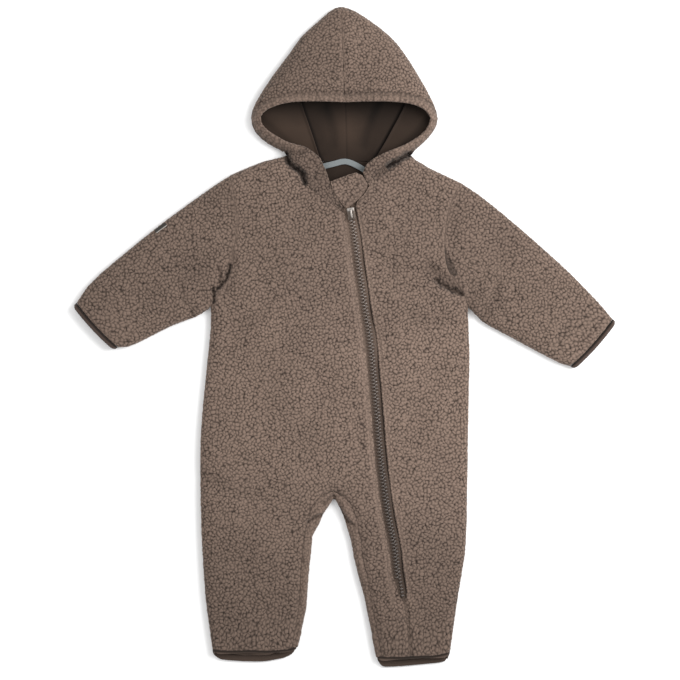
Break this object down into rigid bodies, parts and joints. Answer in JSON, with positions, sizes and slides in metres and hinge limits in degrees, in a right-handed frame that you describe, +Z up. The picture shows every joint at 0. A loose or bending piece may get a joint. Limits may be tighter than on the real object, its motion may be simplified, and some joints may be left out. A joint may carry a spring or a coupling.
{
  "type": "baby jumpsuit",
  "caption": "Hooded one-piece fleece jumpsuit for a baby with a long slanting front zip, bound cuffs and hems, and a chin guard, laid flat on its back.",
  "frame": {"origin": "middle of the laid garment's footprint, on the surface it lies on", "axes": "+X to the right as seen from the front, +Y from the hems to the hood, +Z up out of the front"},
  "size_m": [0.538, 0.658, 0.02],
  "materials": {
    "fleece": "pile fleece, taupe brown",
    "lining": "brushed jersey, dark brown",
    "binding": "elastic binding, dark brown",
    "zip_tape": "woven tape, brown",
    "zip_teeth": "moulded teeth, brown",
    "slider": "pale grey metal",
    "neck_tape": "woven tape, pale grey",
    "badge": "woven patch, dark"
  },
  "bodies": {
    "root": {"back": "fleece", "front_right": "fleece", "front_left": "fleece", "crotch_gusset": "fleece", "sleeve_right": "fleece", "sleeve_left": "fleece", "hood_right": "fleece", "hood_left": "fleece", "chin_guard": "fleece", "cuff_binding_right": "binding", "cuff_binding_left": "binding", "hem_binding_right": "binding", "hem_binding_left": "binding", "hood_lining_back": "lining", "hood_lining_right": "lining", "hood_lining_left": "lining", "neck_lining": "lining", "neck_tape": "neck_tape", "zip_tape_right": "zip_tape", "zip_tape_left": "zip_tape", "zip_chain_right": "zip_teeth", "zip_chain_left": "zip_teeth", "zip_slider": "slider", "zip_pull": "slider", "sleeve_badge": "badge"}
  },
  "joints": []
}
